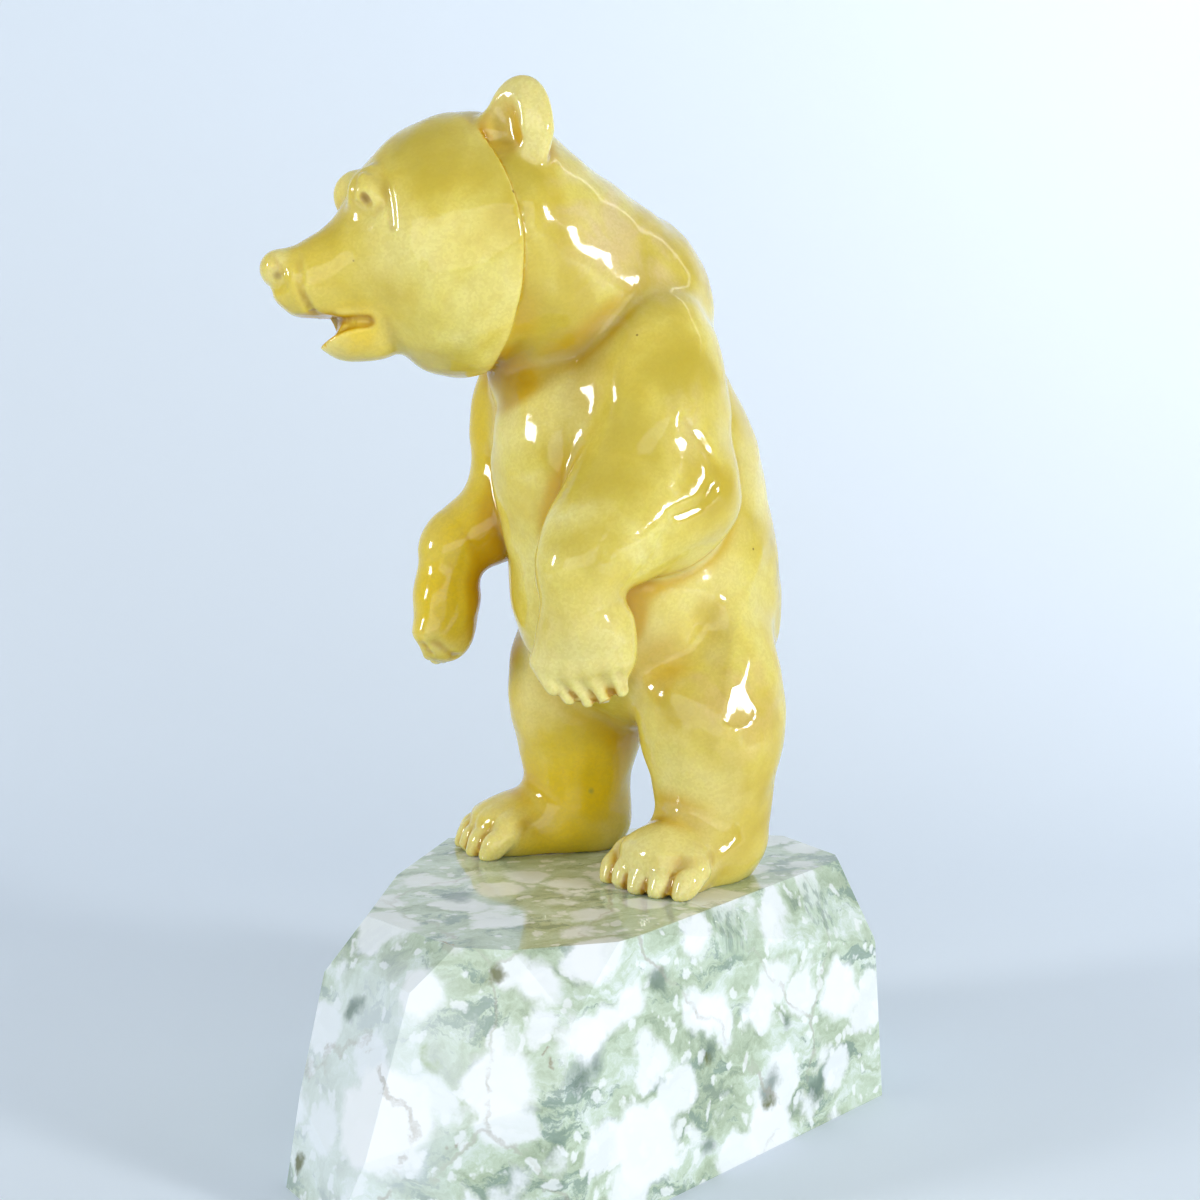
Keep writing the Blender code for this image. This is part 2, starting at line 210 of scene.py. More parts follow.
def sunk_behind_ruff(p, d):
    """Lowers the neck's skin just behind the ruff."""
    h = (p - HEAD_AT) @ HEAD.T
    behind = behind_ruff(h)
    step = rise(behind, -0.1, 0.5) * np.exp(-np.maximum(behind, 0) / 4)
    lowered = 0.9 * step * rise(np.abs(h[:, 0]), 5, 8)
    return d + lowered * rise(-h[:, 2], -11.5, -9.5) * rise(h[:, 2], -15, -12)


# The body and limbs

def torso(p):
    d = egg(p, (-0.5, 4.4, 36.8), (14.8, 18.8, 17.2))
    d = join(d, egg(p, (0, -0.8, 55), (13.0, 15.0, 17)), 6)
    d = join(d, egg(p, (0, -7.5, 52), (9.5, 9.0, 14)), 5)
    d = join(d, egg(p, (0, 8.0, 46.5), (12.3, 12.6, 20)), 4)
    d = join(d, egg(p, (0, 2.8, 67.5), (10.0, 9.4, 16.6)), 4)
    d = join(d, egg(p, (-0.5, 9.6, 30), (12.0, 12.4, 13)), 5)
    return d


def neck(p):
    nape = limb(p, HEAD_AT + 2 * HEAD[1] + (0, 0, 0.7), (0, -1, 72.2), 12.8, 12.5)
    return join(nape, egg(p, (-3, -10, 64), (7.5, 6.5, 6.5)), 3)


LEFT_LEG = {"hip": (10.5, 7.0, 23), "hip_half": (7.8, 10.0, 13), "knee": (10.8, 7.3, 17),
            "ankle": (10.8, 7.2, 6), "heel": (11.2, 5.8, 3.6), "toes": (13.4, -4.0, 0), "turn": -14,
            "breadth": 6.0}
RIGHT_LEG = {"hip": (-11, 1.2, 24), "hip_half": (7.8, 10.8, 13), "knee": (-12.0, 0.9, 18),
             "ankle": (-12.0, 0.8, 7), "heel": (-12.0, 1.2, 3.6), "toes": (-16.4, -11.0, 0), "turn": 14,
             "breadth": 6.0}


def leg(p, build):
    thigh = egg(p, build["hip"], build["hip_half"])
    return join(thigh, limb(p, build["knee"], build["ankle"], 8.1, 7.2), 4)


def foot(p, build):
    """A flat foot with five toes, each ending in a claw that curves down to the ground."""
    heel, toes, breadth = np.array(build["heel"]), np.array(build["toes"]), build["breadth"]
    axes = turned(build["turn"])
    across, ahead, up = axes
    d = egg(p, heel, (6.4, 7.2, 5.4), axes)
    d = join(d, egg(p, (heel + toes) / 2 + 1.6 * up, (6.2, 8.0, 5.0), axes), 2.5)
    d = join(d, egg(p, toes - 2.0 * ahead + 2.3 * up, (breadth + 1.0, 3.8, 3.3), axes), 2.0)
    row = np.full(len(p), FAR_OFF)
    for place in (-1, -0.5, 0, 0.5, 1):
        front = toes + place * breadth * across + (0.9 - 1.4 * place ** 2) * ahead
        knuckle = front - 0.9 * ahead + (3.6 - 0.5 * place ** 2) * up
        toe = limb(p, knuckle, front + 0.9 * ahead + 1.6 * up, 1.75, 1.55)
        claw = limb(p, front + 0.9 * ahead + 2.0 * up, front + 2.0 * ahead + 0.6 * up, 1.5, 1.1)
        row = join(row, join(toe, claw, 1.0), 0.2)
    height = (p - toes) @ up
    return join(d, row, 0.4 + 2.2 * rise(height, 3.2, 5.6))


LEFT_PAW = {"wrist": (14.2, -15.4, 39), "palm": (14.3, -14.0, 31.1), "wrist_radius": 4.6,
            "half": (6.1, 3.6, 6.2), "broad": (0.545, 0.839, 0), "out": (0.839, -0.545, 0),
            "claws": ((-5.2, -2.2, -3.9, -5.1), (-3.9, -3.3, -2.0, -6.2), (-1.8, -3.6, 0.0, -6.5),
                      (0.4, -3.2, 1.9, -6.3), (3.2, -2.6, 4.0, -5.2))}
RIGHT_PAW = {"wrist": (-14.0, -17.6, 40.5), "palm": (-14.2, -18.0, 32.8), "wrist_radius": 4.0,
             "half": (5.4, 3.6, 6.2), "broad": (-0.545, 0.839, 0), "out": (-0.839, -0.545, 0),
             "claws": ((-3.6, -2.6, -2.4, -5.0), (-1.7, -3.2, -0.6, -5.7), (0.2, -3.4, 1.2, -5.8),
                       (2.0, -3.0, 2.8, -5.4), (3.8, -1.2, 4.2, -4.3))}


def paw(p, build):
    """A hanging paw with five claws on its back, each from (across, up) to (across, up) on the palm."""
    wrist, palm, half = np.array(build["wrist"]), np.array(build["palm"]), build["half"]
    broad, out = unit(build["broad"]), unit(build["out"])
    up = np.array((0, 0, 1.0))
    d = limb(p, wrist, wrist * 0.4 + palm * 0.6, build["wrist_radius"], build["wrist_radius"])
    frame_of_palm = np.array([broad, out, up])
    d = join(d, egg(p, palm, half, frame_of_palm), 2.5)
    d = join(d, egg(p, palm - 0.5 * broad - 3.6 * up, (half[0] - 1.2, 2.0, 2.2), frame_of_palm), 1.5)
    row = np.full(len(p), FAR_OFF)
    for from_across, from_up, to_across, to_up in build["claws"]:
        swell = half[1] * math.sqrt(1 - (from_across / half[0]) ** 2 - (from_up / half[2]) ** 2)
        root = palm + from_across * broad + from_up * up + (swell - 1.5) * out
        tip = palm + to_across * broad + to_up * up + 1.2 * out
        row = join(row, limb(p, root, tip, 1.6, 1.0), 0.15)
    return join(d, row, 0.4 + 1.8 * rise((p - palm) @ up, -4.2, -2.0))


def left_arm(p):
    d = egg(p, (12.0, -1.0, 56), (6.6, 9.6, 17.0), turned(-15))
    d = join(d, limb(p, (12.3, -4.0, 56), (13.4, -12.2, 45), 6.6, 5.6), 3)
    d = join(d, limb(p, (13.0, -0.3, 48.8), (14.0, -14.2, 41.0), 8.0, 5.6), 3)
    return join(d, paw(p, LEFT_PAW), 2)


def right_arm(p):
    d = egg(p, (-11.3, -5.6, 57), (6.4, 9.2, 13.0), turned(20))
    d = join(d, limb(p, (-12.5, -7.5, 47.0), (-14.0, -16.0, 42.3), 6.8, 4.7), 4)
    return join(d, paw(p, RIGHT_PAW), 2)


def bear_surface(p):
    """Distance from each point to the bear's skin, below zero inside."""
    # The arms melt into the chest and shoulders and stand clear of the flanks lower down
    chest = rise(p[:, 2], 48, 66) * rise(-p[:, 1], -6, 6)
    soft = 1.0 + 4.0 * chest + 5.0 * rise(p[:, 2], 57, 70)
    d = join(torso(p), within(p, (13, -7, 49), 30, left_arm), soft)
    d = join(d, within(p, (-13, -11, 49), 28, right_arm), soft)

    d = join(d, neck(p), 1.5)
    d = join(d, within(p, HEAD_AT + 7 * HEAD[1], 29, head), 1.0)
    d = sunk_behind_ruff(p, d)
    for build in (LEFT_LEG, RIGHT_LEG):
        middle = np.array(build["ankle"]) + (0, -2.5, 11)
        d = join(d, within(p, middle, 26, lambda q: join(leg(q, build), foot(q, build), 2.0)), 3)

    # The hollow in the groin, in front of the left thigh
    d = cut(d, egg(p, (20.6, -0.6, 30.6), (5.7, 6.6, 6.6)), 4.0)
    d = furrow(p, d, [(12.2, -2.5, 27.6), (14.3, 1.4, 29.5), (14.6, 3.2, 32.0)], 1.3, 2.4)
    return np.maximum(d, -p[:, 2])


# Finer carving, which only the finished skin has. Face places are left, ahead and up from the skull's middle.

EYE_RIM = [(5.6, 18.7, 6.6), (6.5, 17.6, 6.1), (7.3, 16.8, 5.0), (8.0, 16.3, 3.2), (8.5, 16.2, 1.4),
           (8.7, 16.1, -0.4)]
BROW_LINE = [(5.2, 19.4, 6.3), (6.0, 19.9, 4.2), (5.6, 20.1, 2.8), (5.9, 19.9, 1.8)]
LOWER_LID = [(6.1, 19.6, 2.3), (6.6, 18.8, 1.3), (7.2, 17.9, 1.1), (7.8, 17.1, 1.8)]
EYEBALL = (7.0, 18.6, 3.1)
PUPIL = [(6.8, 19.0, 3.1), (7.0, 18.5, 2.3)]
PAD_EDGE = [(1.0, 29.3, -2.2), (2.3, 29.0, -3.6), (3.1, 28.0, -5.4)]
NOSTRIL = [(2.6, 29.0, -5.4), (2.7, 28.4, -6.3)]
BELOW_PAD = [(0, 29.8, -7.2), (1.6, 29.2, -7.3), (2.9, 27.9, -6.9)]
LIP_CREASE = [(3.3, 26.3, -2.8), (3.8, 26.1, -4.3), (4.2, 26.1, -5.8), (4.0, 26.1, -7.2),
              (3.3, 25.3, -8.8), (2.1, 24.3, -9.9)]
LIP_SPLIT = [(0, 29.6, -7.6), (0, 28.6, -9.0), (0, 27.2, -10.4)]

# Body places are left, back and up from the soles
ELBOW_EDGE = [(19.0, -3.6, 57.5), (19.7, -1.7, 55.1), (20.3, -0.1, 52.8), (20.9, -0.3, 50.4),
              (20.8, -2.4, 47.5), (20.5, -6.2, 46.2), (20.3, -6.6, 44.6), (19.6, -8.0, 41.7),
              (18.9, -9.6, 39.7)]
HAUNCH_EDGE = [(12.7, 13.0, 41.0), (14.4, 9.2, 35.4), (16.4, 6.2, 30.4), (17.3, 4.4, 25.5),
               (18.5, 4.6, 22.0), (18.0, 2.2, 17.6)]
SCRAPED_SPOT = np.array((18.3, 4.9, 23.2))
SCRAPED_FACING = (0.98, -0.12, 0.16)
RIGHT_CLAW_LINES = [[(-10.9, -21.4, 29.6), (-12.5, -17.7, 27.3)],
                    [(-12.1, -22.3, 29.2), (-12.2, -21.3, 28.3)]]
LEFT_CLAW_LINES = [[(17.5, -14.3, 27.2), (17.3, -12.8, 25.4)], [(16.2, -16.1, 26.6), (16.3, -14.1, 24.2)],
                   [(14.8, -17.6, 26.5), (15.1, -15.7, 24.1)], [(18.5, -12.3, 28.1), (18.2, -11.2, 26.2)]]

# The finer carving is worked out in these balls alone: middle and radius, the face's in places on the head
FACE_BALL = ((0, 21, -2), 14)
LEFT_SIDE_BALL = ((17, 0, 37), 27)
SCRAPED_BALL = (SCRAPED_SPOT, 3)
RIGHT_PAW_BALL = ((-12, -20, 29), 9)
LEFT_PAW_BALL = ((16, -15, 27), 9)


def creased(p, d, points, height, width):
    """The form raised to a crisp edge along a path over its skin."""
    return d - height * np.exp(-off_path(p, points) / width)


def on_both_sides(points):
    return [points, [(-left, ahead, up) for left, ahead, up in points]]


def face_details(h, d):
    """Eyes, nose pad, nostrils and lips, for points near the face."""
    for side, turn in ((1, 0), (-1, 1)):
        # The right brow is carved a little further forward and higher
        q = h * (side, 1, 1) - (0, 0.5 * turn, 1.1 * turn)
        d = furrow(q, d, EYE_RIM, 0.50, 0.6)
        d = furrow(q, d, BROW_LINE, 0.25, 0.5)
        d = furrow(q, d, LOWER_LID, 0.36, 0.5)
        away = np.linalg.norm(q - EYEBALL, axis=1)
        d = d - 0.28 * np.exp(-(away / 1.5) ** 4)
        d = furrow(q, d, PUPIL, 0.95, 0.46)
    for path, depth, width in ((PAD_EDGE, 0.28, 0.4), (NOSTRIL, 0.8, 0.48), (BELOW_PAD, 0.5, 0.6),
                               (LIP_CREASE, 0.5, 0.55)):
        for points in on_both_sides(path):
            d = furrow(h, d, points, depth, width)
    return furrow(h, d, LIP_SPLIT, 0.35, 0.4)


def hand_rubbed(p):
    """Shallow waves that rubbing down by hand leaves, which break up the highlights."""
    waves = np.sin(p @ (0.93, 0.31, 0.52) + 1.3) + np.sin(p @ (-0.45, 0.88, -0.67) + 0.4)
    waves += np.sin(p @ (0.28, -0.57, 1.21) + 2.2) + np.sin(p @ (1.17, 0.95, -0.33) + 5.0)
    return 0.035 * waves


def in_ball(p, ball):
    middle, radius = ball
    return np.linalg.norm(p - middle, axis=1) < radius


def skin(p):
    """The bear's surface with its finer carving."""
    d = bear_surface(p) + hand_rubbed(p)
    h = (p - HEAD_AT) @ HEAD.T
    face = in_ball(h, FACE_BALL)
    if face.any():
        d[face] = face_details(h[face], d[face])
    side = in_ball(p, LEFT_SIDE_BALL)
    if side.any():
        q = p[side]
        e = furrow(q, d[side], ELBOW_EDGE, 0.30, 0.8)
        e = creased(q, e, HAUNCH_EDGE, 0.45, 0.9)
        flat = (q - SCRAPED_SPOT) @ unit(SCRAPED_FACING)
        d[side] = np.where(in_ball(q, SCRAPED_BALL), keep(e, flat, 0.05), e)
    for ball, lines in ((RIGHT_PAW_BALL, RIGHT_CLAW_LINES), (LEFT_PAW_BALL, LEFT_CLAW_LINES)):
        near = in_ball(p, ball)
        for line in lines if near.any() else ():
            d[near] = furrow(p[near], d[near], line, 0.4, 0.65)
    return d


# From the carved form to a mesh

CARVING_LOW = np.array((-26.0, -52.0, -4.0))
CARVING_HIGH = np.array((26.0, 34.0, 104.0))


def placed(name, data):
    """A new object in the scene, with the mesh, lamp or camera given."""
    made = bpy.data.objects.new(name, data)
    bpy.context.collection.objects.link(made)
    return made


def roughed_out(surface, cell):
    """The outer faces of all the small cubes whose centres lie inside the form."""
    counts = np.ceil((CARVING_HIGH - CARVING_LOW) / cell).astype(int)
    corners = np.indices(counts).reshape(3, -1).T
    inside = (surface(CARVING_LOW + (corners + 0.5) * cell) < 0).reshape(counts)
    verts, faces = [], []
    for axis in range(3):
        u, v = (axis + 1) % 3, (axis + 2) % 3
        for towards in (-1, 1):
            open_side = inside & ~np.roll(inside, -towards, axis)
            first = np.argwhere(open_side).astype(float)
            first[:, axis] += max(towards, 0)
            order = ((0, 0), (1, 0), (1, 1), (0, 1)) if towards > 0 else ((0, 0), (0, 1), (1, 1), (1, 0))
            for step_u, step_v in order:
                corner = first.copy()
                corner[:, u] += step_u
                corner[:, v] += step_v
                verts.append(corner)
            start = sum(len(block) for block in verts[:-4])
            faces.append(start + np.arange(len(first))[:, None] + np.arange(4) * len(first))
    mesh = bpy.data.meshes.new("rough bear")
    mesh.from_pydata((CARVING_LOW + np.vstack(verts) * cell).tolist(), [], np.vstack(faces).tolist())
    bm = bmesh.new()
    bm.from_mesh(mesh)
    bmesh.ops.remove_doubles(bm, verts=bm.verts, dist=cell / 100)
    bm.to_mesh(mesh)
    bm.free()
    return mesh


def modified(mesh, kind, **settings):
    """The mesh as one modifier leaves it."""
    holder = placed("holder", mesh)
    modifier = holder.modifiers.new(kind, kind)
    for name, value in settings.items():
        setattr(modifier, name, value)
    result = bpy.data.meshes.new_from_object(holder.evaluated_get(bpy.context.evaluated_depsgraph_get()))
    bpy.data.objects.remove(holder)
    return result


def places(mesh):
    p = np.empty(len(mesh.vertices) * 3)
    mesh.vertices.foreach_get("co", p)
    return p.reshape(-1, 3)


def slope(surface, p, d, probe=0.04):
    """The direction in which the distance grows fastest."""
    g = np.empty_like(p)
    for axis in range(3):
        offset = np.zeros(3)
        offset[axis] = probe
        g[:, axis] = (surface(p + offset) - d) / probe
    return g


def drawn_to_surface(mesh, surface, steps):
    """Moves each vertex along the form's slope, by small steps, until it lies on the form."""
    p = places(mesh)
    for _ in range(steps):
        d = surface(p)
        g = slope(surface, p, d)
        p = p - g * np.clip(d / np.maximum((g ** 2).sum(1), 0.25), -1, 1)[:, None]
    mesh.vertices.foreach_set("co", p.ravel())
    mesh.update()
    return mesh


def note(mesh, name, values):
    mesh.attributes.new(name, "FLOAT", "POINT").data.foreach_set("value", values.astype(np.float32))


def carve_bear():
    rough, fine = FIRST_CUT / PERCENT, FINE_CUT / PERCENT

    # Rough blocks melted together and drawn to the form, then a finer mesh drawn to the carved skin
    mesh = roughed_out(bear_surface, rough)
    mesh = modified(mesh, "REMESH", mode="VOXEL", voxel_size=rough * 0.8)
    mesh = modified(mesh, "SMOOTH", factor=0.5, iterations=4)
    mesh = drawn_to_surface(mesh, bear_surface, 4)
    mesh = modified(mesh, "REMESH", mode="VOXEL", voxel_size=fine)
    mesh = drawn_to_surface(mesh, skin, 3)
    mesh.calc_loop_triangles()
    share = BEAR_TRIANGLES / len(mesh.loop_triangles)
    if share < 1:
        mesh = modified(mesh, "DECIMATE", ratio=share)

    # How deep a spot lies between other forms or in a groove, and how thin the stone is behind it, for the
    # painted shade and painted light of the finish
    p = places(mesh)
    g = slope(bear_surface, p, bear_surface(p))
    g /= np.linalg.norm(g, axis=1)[:, None]
    note(mesh, "recess", np.clip(1 - bear_surface(p + RECESS_REACH * g) / RECESS_REACH, 0, 1))
    note(mesh, "groove", np.clip(1 - skin(p + GROOVE_REACH * g) / GROOVE_REACH, 0, 1))
    thin = [np.clip(1 + bear_surface(p - depth * g) / depth, 0, 1) for depth in GLOW_DEPTHS]
    note(mesh, "thinness", sum(thin) / len(thin))

    mesh.transform(Matrix.Translation(SOLES) @ Matrix.Scale(PERCENT, 4))
    mesh.shade_smooth()
    return placed("carved_bear", mesh)


# Finishes

def linear(code):
    """Linear light, with full opacity, from an sRGB hex value."""
    parts = [int(code[i:i + 2], 16) / 255 for i in (1, 3, 5)]
    return [c / 12.92 if c <= 0.04045 else ((c + 0.055) / 1.055) ** 2.4 for c in parts] + [1.0]


def add(tree, kind, inputs=None, stops=None, **settings):
    """Adds a node with its settings, its colour stops, and a value or a link for each input named."""
    made = tree.nodes.new(kind)
    for name, value in settings.items():
        setattr(made, name, value)
    for name, value in (inputs or {}).items():
        if isinstance(value, bpy.types.NodeSocket):
            tree.links.new(value, made.inputs[name])
        else:
            made.inputs[name].default_value = value
    if stops:
        band = made.color_ramp.elements
        while len(band) < len(stops):
            band.new(1.0)
        for element, (place, colour) in zip(band, stops):
            element.position = place
            element.color = linear(colour)
    return made


def layered(tree, under, value, none_at, full_at, colour, strength=1.0):
    """A colour laid over another: not at all where the value is none_at, and to its strength at full_at."""
    inputs = {"Value": value, "From Min": none_at, "From Max": full_at, "To Max": strength}
    share = add(tree, "ShaderNodeMapRange", inputs, interpolation_type="SMOOTHSTEP").outputs["Result"]
    return add(tree, "ShaderNodeMix", {0: share, 6: under, 7: linear(colour)}, data_type="RGBA").outputs[2]


def near_spots(tree, at, spots, edge):
    """1 inside each spot, given as its middle from the soles and its half width, and 0 past its soft edge."""
    mask = 0.0
    for left, back, up, half in spots:
        middle = SOLES + Vector((left, back, up)) * PERCENT
        away = add(tree, "ShaderNodeVectorMath", {0: at, 1: middle}, operation="DISTANCE").outputs["Value"]
        inputs = {"Value": away, "From Min": (half + edge) * PERCENT, "From Max": (half - edge) * PERCENT}
        spot = add(tree, "ShaderNodeMapRange", inputs).outputs["Result"]
        mask = add(tree, "ShaderNodeMath", {0: mask, 1: spot}, operation="MAXIMUM").outputs[0]
    return mask


def near_line(tree, at, start, end, half):
    """1 on the straight line between two places and 0 from half its width away."""
    start = SOLES + Vector(start) * PERCENT
    run = SOLES + Vector(end) * PERCENT - start
    from_start = add(tree, "ShaderNodeVectorMath", {0: at, 1: start}, operation="SUBTRACT").outputs["Vector"]
    inputs = {0: from_start, 1: run / run.length_squared}
    along = add(tree, "ShaderNodeVectorMath", inputs, operation="DOT_PRODUCT").outputs["Value"]
    along = add(tree, "ShaderNodeMapRange", {"Value": along}).outputs["Result"]
    closest = add(tree, "ShaderNodeVectorMath", {0: run, "Scale": along}, operation="SCALE").outputs["Vector"]
    inputs = {0: from_start, 1: closest}
    away = add(tree, "ShaderNodeVectorMath", inputs, operation="DISTANCE").outputs["Value"]
    inputs = {"Value": away, "From Min": half * PERCENT, "From Max": 0.0}
    return add(tree, "ShaderNodeMapRange", inputs).outputs["Result"]


def shifted(tree, at, by, noise):
    """The places moved by a noise, up to half of by each way, so that what is drawn there has torn edges."""
    drift = add(tree, "ShaderNodeTexNoise", {"Vector": at, **noise}).outputs["Color"]
    shift = add(tree, "ShaderNodeVectorMath", {0: drift, 1: (0.5, 0.5, 0.5)}, operation="SUBTRACT")
    shift = add(tree, "ShaderNodeVectorMath", {0: shift.outputs["Vector"], "Scale": by}, operation="SCALE")
    inputs = {0: at, 1: shift.outputs["Vector"]}
    return add(tree, "ShaderNodeVectorMath", inputs, operation="ADD").outputs["Vector"]


def start_material(name, roughness, ior):
    material = bpy.data.materials.new(name)
    material.use_nodes = True
    shader = material.node_tree.nodes["Principled BSDF"]
    shader.inputs["Roughness"].default_value = roughness
    shader.inputs["IOR"].default_value = ior
    return material, material.node_tree, shader


def let_light_in(shader, share, colour_reach, depth):
    """Light enters the stone and comes out up to depth away, less far where colour_reach is below one."""
    shader.inputs["Subsurface Weight"].default_value = share
    shader.inputs["Subsurface Radius"].default_value = colour_reach
    shader.inputs["Subsurface Scale"].default_value = depth


def on_body(left, ahead, up, half):
    """A place on the head, from the skull's middle, as a place from the soles, with its half width."""
    return (*(HEAD_AT + np.array((left, ahead, up)) @ HEAD), half)


# Places on the bear where the stone looks different or is painted amber as shade, from the soles: left, back,
# up and half width
OLIVE_CLOUDS = [(4.5, -29.3, 89.0, 5), (9.9, -23.1, 86.6, 4.5), (13.2, -3.7, 73.2, 4),
                (17.9, -3.3, 64.6, 4.5), (17.5, -10.1, 55.1, 4.5), (17.7, -13.7, 49.3, 4),
                (18.9, -16.5, 43.0, 4)]
STRAW_CLOUDS = [(18.0, -16.0, 30.8, 4.5), (-7.0, -8.0, 21.4, 4), (14.2, 3.3, 40.5, 6), (10.3, 14.8, 50.3, 6),
                (15.1, 0.5, 12.2, 6), (-0.1, -16.9, 57.8, 5), (3.6, -34.0, 78.0, 4), (11.3, -4.5, 30.8, 5),
                (14.7, -6.7, 4.2, 4.5), (7.4, -13.5, 60.0, 4)]
# Amber painted shade in nooks by the right arm, the right leg and foot, and under the jaw
AMBER_PAINTED_SHADE = [(-9.7, -15.4, 40.0, 5), (-9.7, -19.0, 34.9, 5), (-4.9, -1.6, 10.4, 6), (-7.8, -4.5, 1.4, 5),
                (-2.0, -35.4, 68.0, 3.5)]
GREEN_FLECK = [(-4.6, -1.4, 8.9, 0.5)]
# Pupils and nostrils, darkened as painted shade in their holes
PAINTED_SHADE_IN_HOLES = [on_body(6.9, 18.8, 2.8, 0.55), on_body(-6.9, 19.3, 3.9, 0.55), on_body(2.65, 28.7, -5.8, 0.6),
           on_body(-2.65, 28.7, -5.8, 0.6)]
# Wisps: left, back, up, half width, colour and strength
WISPS = [(11, -9, 79, 11, "#E3CBA6", 0.55), (18.5, -1, 57, 7, "#DCC79C", 0.35),
         (19, 6, 24, 9, "#E0C488", 0.45), (9.5, 19, 38, 4, "#85775A", 0.9)]


def polished_honey_calcite():
    """Honey calcite, sold as yellow onyx marble, carved and polished by hand.

    Light goes a few millimetres in. Edges and claws are also painted paler as painted light, and deep places
    amber as painted shade. The polish gives small sharp highlights, and the crystals show as a fine speckle
    below the surface.
    """
    material, tree, shader = start_material("polished_honey_calcite", 0.09, 1.55)
    at = add(tree, "ShaderNodeTexCoord").outputs["Object"]

    # Clouds about 25 mm wide from olive honey to pale straw, mottled every 4 mm
    inputs = {"Vector": at, "Scale": 38, "Detail": 3, "Distortion": 0.6}
    clouds = add(tree, "ShaderNodeTexNoise", inputs).outputs["Fac"]
    stops = [(0.32, "#CAB23A"), (0.48, "#DAC653"), (0.60, "#E4D56C"), (0.74, "#ECE292")]
    colour = add(tree, "ShaderNodeValToRGB", {"Fac": clouds}, stops).outputs["Color"]
    mottle = add(tree, "ShaderNodeTexNoise", {"Vector": at, "Scale": 240, "Detail": 3}).outputs["Fac"]
    colour = layered(tree, colour, mottle, 0.45, 0.68, "#CDB23A", 0.22)

    # Painted shade: a deeper gold laid over the bear's right side, the far side, which lies in shade
    leftward = add(tree, "ShaderNodeSeparateXYZ", {"Vector": at}).outputs["X"]
    colour = layered(tree, colour, leftward, SOLES.x + 3 * PERCENT, SOLES.x - 12 * PERCENT, "#DFC21C", 0.75)

    # Olive and straw clouds in their places, with torn edges
    bent = shifted(tree, at, 0.02, {"Scale": 70, "Detail": 4})
    colour = layered(tree, colour, near_spots(tree, bent, OLIVE_CLOUDS, 3.0), 0, 1, "#BEA934", 0.6)
    colour = layered(tree, colour, near_spots(tree, bent, STRAW_CLOUDS, 3.5), 0, 1, "#EFE59C", 0.6)

    # Painted light and shade: straw where the stone is thin, for light shining through, and amber painted
    # shade in its places, where the form folds in and down in the grooves
    thin = add(tree, "ShaderNodeAttribute", attribute_name="thinness").outputs["Fac"]
    # Painted light: paler straw where light shines through thin stone
    colour = layered(tree, colour, thin, 0.0, 0.8, "#F1EAA6", 0.65)
    # Amber painted shade in the places listed
    colour = layered(tree, colour, near_spots(tree, bent, AMBER_PAINTED_SHADE, 3.0), 0, 1, "#E9C90E", 0.75)
    # Painted shade: amber, deeper where the form folds in further
    recess = add(tree, "ShaderNodeAttribute", attribute_name="recess").outputs["Fac"]
    colour = layered(tree, colour, recess, 0.10, 0.62, "#D0A608", 0.85)
    colour = layered(tree, colour, recess, 0.60, 0.95, "#BE8C00", 0.45)
    # Painted shade: darker amber down in the grooves
    groove = add(tree, "ShaderNodeAttribute", attribute_name="groove").outputs["Fac"]
    colour = layered(tree, colour, groove, 0.10, 0.65, "#B58408", 0.85)
    # Painted shade in the pupils and nostrils
    colour = layered(tree, colour, near_spots(tree, at, PAINTED_SHADE_IN_HOLES, 0.3), 0, 1, "#9A7420", 0.8)

    # Pale rosy wisps over the neck, shoulder and haunch, a brown vein on the back, and one green fleck
    inputs = {"Vector": at, "Scale": 65, "Detail": 5, "Distortion": 1.4}
    wisps = add(tree, "ShaderNodeTexNoise", inputs).outputs["Fac"]
    for left, back, up, half, tint, strength in WISPS:
        zone = near_spots(tree, at, [(left, back, up, half)], 0.8 * half)
        both = add(tree, "ShaderNodeMath", {0: zone, 1: wisps}, operation="MULTIPLY").outputs[0]
        colour = layered(tree, colour, both, 0.25, 0.60, tint, strength)
    colour = layered(tree, colour, near_spots(tree, at, GREEN_FLECK, 0.25), 0, 1, "#7C8A52", 0.8)

    # Crystals of 0.6 mm, and dark pits under 1 mm wide every centimetre or two
    crystals = add(tree, "ShaderNodeTexVoronoi", {"Vector": at, "Scale": 1 / 0.0006}).outputs["Color"]
    grey = add(tree, "ShaderNodeRGBToBW", {"Color": crystals}).outputs["Val"]
    colour = layered(tree, colour, grey, 0.75, 0.25, "#BBA33C", 0.16)
    pits = add(tree, "ShaderNodeTexVoronoi", {"Vector": at, "Scale": 62}).outputs["Distance"]
    colour = layered(tree, colour, pits, 0.032, 0.016, "#6B4A14", 0.8)
    tree.links.new(colour, shader.inputs["Base Color"])

    let_light_in(shader, 0.6, (1.0, 0.78, 0.2), 0.0035)
    ripple = add(tree, "ShaderNodeTexNoise", {"Vector": at, "Scale": 170, "Detail": 2}).outputs["Fac"]
    bump = add(tree, "ShaderNodeBump", {"Height": ripple, "Strength": 0.35, "Distance": 0.0003})
    tree.links.new(bump.outputs["Normal"], shader.inputs["Normal"])
    return material


